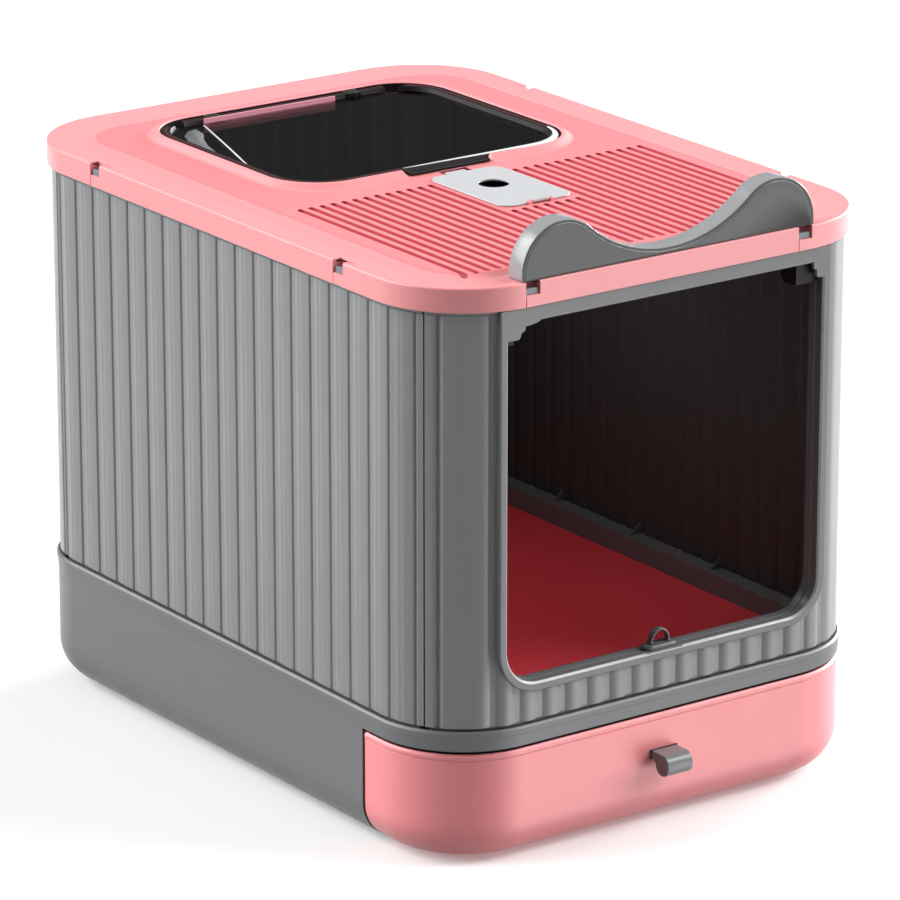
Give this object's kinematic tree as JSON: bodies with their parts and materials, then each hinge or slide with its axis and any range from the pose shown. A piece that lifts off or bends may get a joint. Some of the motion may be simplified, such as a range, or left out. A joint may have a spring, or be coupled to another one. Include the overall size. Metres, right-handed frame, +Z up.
{
  "type": "litter box",
  "caption": "Enclosed rectangular litter box with fluted walls, a front doorway, a top hatch with a clear flap, a rail shaped like ears and a pull-out drawer.",
  "frame": {"origin": "on the floor, under the centre of the bounding box", "axes": "+Z up, the doorway and the drawer face -Y, +X to the right of someone who faces the doorway's back"},
  "size_m": [0.42, 0.6038, 0.4911],
  "materials": {
    "grey": "fine satin, mid grey",
    "dark_grey": "satin, dark grey",
    "pink": "satin, light coral pink",
    "light_grey": "satin, light grey",
    "clear": "clear, polished",
    "red_screen": "fine woven texture, dark red",
    "rubber": "matt, black",
    "steel": "plain steel",
    "charcoal": "black felt"
  },
  "bodies": {
    "base": {"base_shell": "grey", "foot_pads": "rubber", "litter_screen": "red_screen", "left_wall": "grey", "right_wall": "grey", "front_panel": "grey", "back_panel": "grey", "door_hinge_left": "dark_grey", "door_hinge_right": "dark_grey"},
    "lid": {"top_cover": "pink", "flap_hinge_clips": "dark_grey", "flap_hinge_pins": "steel", "ear_rail": "grey", "rail_screws": "steel", "plate_hinge_pin": "steel", "deodoriser_cup": "grey", "charcoal_pack": "charcoal"},
    "flap": {"hatch_flap": "clear"},
    "vent_plate": {"deodoriser_plate": "light_grey"},
    "latch": {"door_latch": "dark_grey", "latch_screw": "steel"},
    "drawer": {"drawer": "pink", "drawer_pull": "grey", "pull_screws": "steel"}
  },
  "joints": [
    {"name": "lid_lift", "type": "slide", "parent": "base", "child": "lid", "axis": [0, 0, 1], "range_m": [0, 0.13]},
    {"name": "flap_hinge", "type": "hinge", "parent": "lid", "child": "flap", "pos_m": [0, 0.2269, 0.4523], "axis": [-1, 0, 0], "range_deg": [0, 100]},
    {"name": "plate_hinge", "type": "hinge", "parent": "lid", "child": "vent_plate", "pos_m": [0, -0.1211, 0.4542], "axis": [1, 0, 0], "range_deg": [0, 95]},
    {"name": "latch_turn", "type": "hinge", "parent": "base", "child": "latch", "pos_m": [0, -0.2726, 0.142], "axis": [0, 0, 1], "range_deg": [0, 90]},
    {"name": "drawer_slide", "type": "slide", "parent": "base", "child": "drawer", "axis": [0, -1, 0], "range_m": [0, 0.35]}
  ]
}
